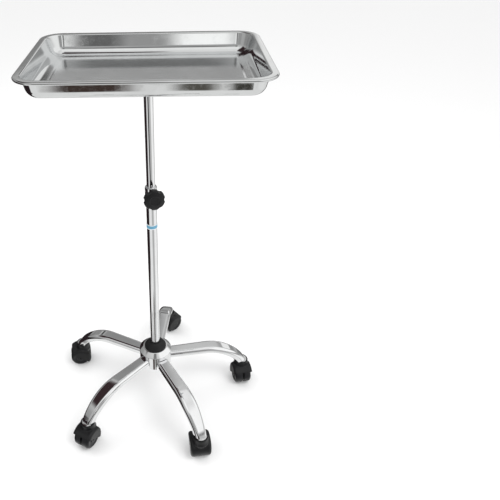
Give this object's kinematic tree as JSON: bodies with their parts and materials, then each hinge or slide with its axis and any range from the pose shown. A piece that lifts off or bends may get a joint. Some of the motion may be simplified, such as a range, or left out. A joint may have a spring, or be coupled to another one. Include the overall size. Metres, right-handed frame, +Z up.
{
  "type": "instrument stand",
  "caption": "Wheeled instrument stand: a rectangular steel tray on a telescoping post with a clamp knob, on a star base with swivelling hooded twin-wheel casters.",
  "frame": {"origin": "on the floor, under the middle of the whole stand's bounding box", "axes": "+Z up, +X along the tray's long side, +Y towards the back; the clamp knob is on the -Y side"},
  "size_m": [0.5594, 0.5508, 0.979],
  "materials": {
    "satin_steel": "satin polished stainless steel",
    "chrome": "bright chrome plate",
    "zinc_steel": "dull zinc plate",
    "chromed_plastic": "mirror chrome film on moulded plastic",
    "black_plastic": "fine texture",
    "wheel_plastic": "smooth, half matt",
    "white_nylon": "as moulded",
    "pad_rubber": "matt",
    "band_blue": "printed film"
  },
  "bodies": {
    "base": {"hub_core": "zinc_steel", "base_plate": "zinc_steel", "hub_cover": "chromed_plastic", "hub_cap": "black_plastic", "post_bolt": "zinc_steel", "outer_tube": "chrome", "guide_bush": "white_nylon", "label_band": "band_blue", "clamp_collar": "chrome", "leg_1": "chrome", "leg_2": "chrome", "leg_3": "chrome", "leg_4": "chrome", "leg_5": "chrome", "leg_bolt_1": "zinc_steel", "leg_bolt_2": "zinc_steel", "leg_bolt_3": "zinc_steel", "leg_bolt_4": "zinc_steel", "leg_bolt_5": "zinc_steel"},
    "glide": {"post_glide": "white_nylon"},
    "upper_post": {"inner_tube": "chrome", "carrier_plate": "zinc_steel", "carrier_bar_front": "zinc_steel", "carrier_bar_back": "zinc_steel", "carrier_end_left": "zinc_steel", "carrier_end_right": "zinc_steel", "pad_front_left": "pad_rubber", "pad_back_left": "pad_rubber", "pad_front_right": "pad_rubber", "pad_back_right": "pad_rubber"},
    "tray": {"tray": "satin_steel"},
    "shoe": {"clamp_shoe": "white_nylon"},
    "knob": {"lock_knob": "black_plastic", "knob_screw": "chrome"},
    "caster_1": {"caster_stem_1": "zinc_steel", "caster_hood_1": "black_plastic", "caster_axle_1": "zinc_steel"},
    "left_1": {"wheel_left_1": "wheel_plastic"},
    "right_1": {"wheel_right_1": "wheel_plastic"},
    "caster_2": {"caster_stem_2": "zinc_steel", "caster_hood_2": "black_plastic", "caster_axle_2": "zinc_steel"},
    "left_2": {"wheel_left_2": "wheel_plastic"},
    "right_2": {"wheel_right_2": "wheel_plastic"},
    "caster_3": {"caster_stem_3": "zinc_steel", "caster_hood_3": "black_plastic", "caster_axle_3": "zinc_steel"},
    "left_3": {"wheel_left_3": "wheel_plastic"},
    "right_3": {"wheel_right_3": "wheel_plastic"},
    "caster_4": {"caster_stem_4": "zinc_steel", "caster_hood_4": "black_plastic", "caster_axle_4": "zinc_steel"},
    "left_4": {"wheel_left_4": "wheel_plastic"},
    "right_4": {"wheel_right_4": "wheel_plastic"},
    "caster_5": {"caster_stem_5": "zinc_steel", "caster_hood_5": "black_plastic", "caster_axle_5": "zinc_steel"},
    "left_5": {"wheel_left_5": "wheel_plastic"},
    "right_5": {"wheel_right_5": "wheel_plastic"}
  },
  "joints": [
    {"name": "post_slide", "type": "slide", "parent": "base", "child": "glide", "axis": [0, 0, 1], "range_m": [-0.215, 0.23]},
    {"name": "post_swivel", "type": "hinge", "parent": "glide", "child": "upper_post", "pos_m": [-0.00667, -0.02297, 0.9], "axis": [0, 0, 1], "continuous": true},
    {"name": "tray_lift", "type": "slide", "parent": "upper_post", "child": "tray", "axis": [0, 0, 1], "range_m": [0, 0.12]},
    {"name": "clamp_travel", "type": "slide", "parent": "base", "child": "shoe", "axis": [0.2588, -0.9659, 0], "range_m": [0, 0.0031]},
    {"name": "knob_turn", "type": "hinge", "parent": "shoe", "child": "knob", "pos_m": [-0.00667, -0.02297, 0.6633], "axis": [0.2588, -0.9659, 0], "range_deg": [0, 720]},
    {"name": "caster_swivel_1", "type": "hinge", "parent": "base", "child": "caster_1", "pos_m": [0.24658, 0.02077, 0.07], "axis": [0, 0, 1], "continuous": true},
    {"name": "roll_left_1", "type": "hinge", "parent": "caster_1", "child": "left_1", "pos_m": [0.24849, 0.00994, 0.02864], "axis": [0.9848, 0.1736, 0], "continuous": true},
    {"name": "roll_right_1", "type": "hinge", "parent": "caster_1", "child": "right_1", "pos_m": [0.24849, 0.00994, 0.02864], "axis": [0.9848, 0.1736, 0], "continuous": true},
    {"name": "caster_swivel_2", "type": "hinge", "parent": "base", "child": "caster_2", "pos_m": [0.02999, 0.2314, 0.07], "axis": [0, 0, 1], "continuous": true},
    {"name": "roll_left_2", "type": "hinge", "parent": "caster_2", "child": "left_2", "pos_m": [0.03841, 0.23847, 0.02864], "axis": [-0.6428, 0.766, 0], "continuous": true},
    {"name": "roll_right_2", "type": "hinge", "parent": "caster_2", "child": "right_2", "pos_m": [0.03841, 0.23847, 0.02864], "axis": [-0.6428, 0.766, 0], "continuous": true},
    {"name": "caster_swivel_3", "type": "hinge", "parent": "base", "child": "caster_3", "pos_m": [-0.23727, 0.09049, 0.07], "axis": [0, 0, 1], "continuous": true},
    {"name": "roll_left_3", "type": "hinge", "parent": "caster_3", "child": "left_3", "pos_m": [-0.2481, 0.08858, 0.02864], "axis": [0.1736, -0.9848, 0], "continuous": true},
    {"name": "roll_right_3", "type": "hinge", "parent": "caster_3", "child": "right_3", "pos_m": [-0.2481, 0.08858, 0.02864], "axis": [0.1736, -0.9848, 0], "continuous": true},
    {"name": "caster_swivel_4", "type": "hinge", "parent": "base", "child": "caster_4", "pos_m": [-0.18584, -0.20722, 0.07], "axis": [0, 0, 1], "continuous": true},
    {"name": "roll_left_4", "type": "hinge", "parent": "caster_4", "child": "left_4", "pos_m": [-0.19101, -0.21693, 0.02864], "axis": [0.8829, -0.4695, 0], "continuous": true},
    {"name": "roll_right_4", "type": "hinge", "parent": "caster_4", "child": "right_4", "pos_m": [-0.19101, -0.21693, 0.02864], "axis": [0.8829, -0.4695, 0], "continuous": true},
    {"name": "caster_swivel_5", "type": "hinge", "parent": "base", "child": "caster_5", "pos_m": [0.11319, -0.25031, 0.07], "axis": [0, 0, 1], "continuous": true},
    {"name": "roll_left_5", "type": "hinge", "parent": "caster_5", "child": "left_5", "pos_m": [0.11166, -0.23942, 0.02864], "axis": [-0.9903, -0.1392, 0], "continuous": true},
    {"name": "roll_right_5", "type": "hinge", "parent": "caster_5", "child": "right_5", "pos_m": [0.11166, -0.23942, 0.02864], "axis": [-0.9903, -0.1392, 0], "continuous": true}
  ],
  "couplings": [
    {"joint": "clamp_travel", "follows": "knob_turn", "m_per_rad": 0.00023873}
  ]
}
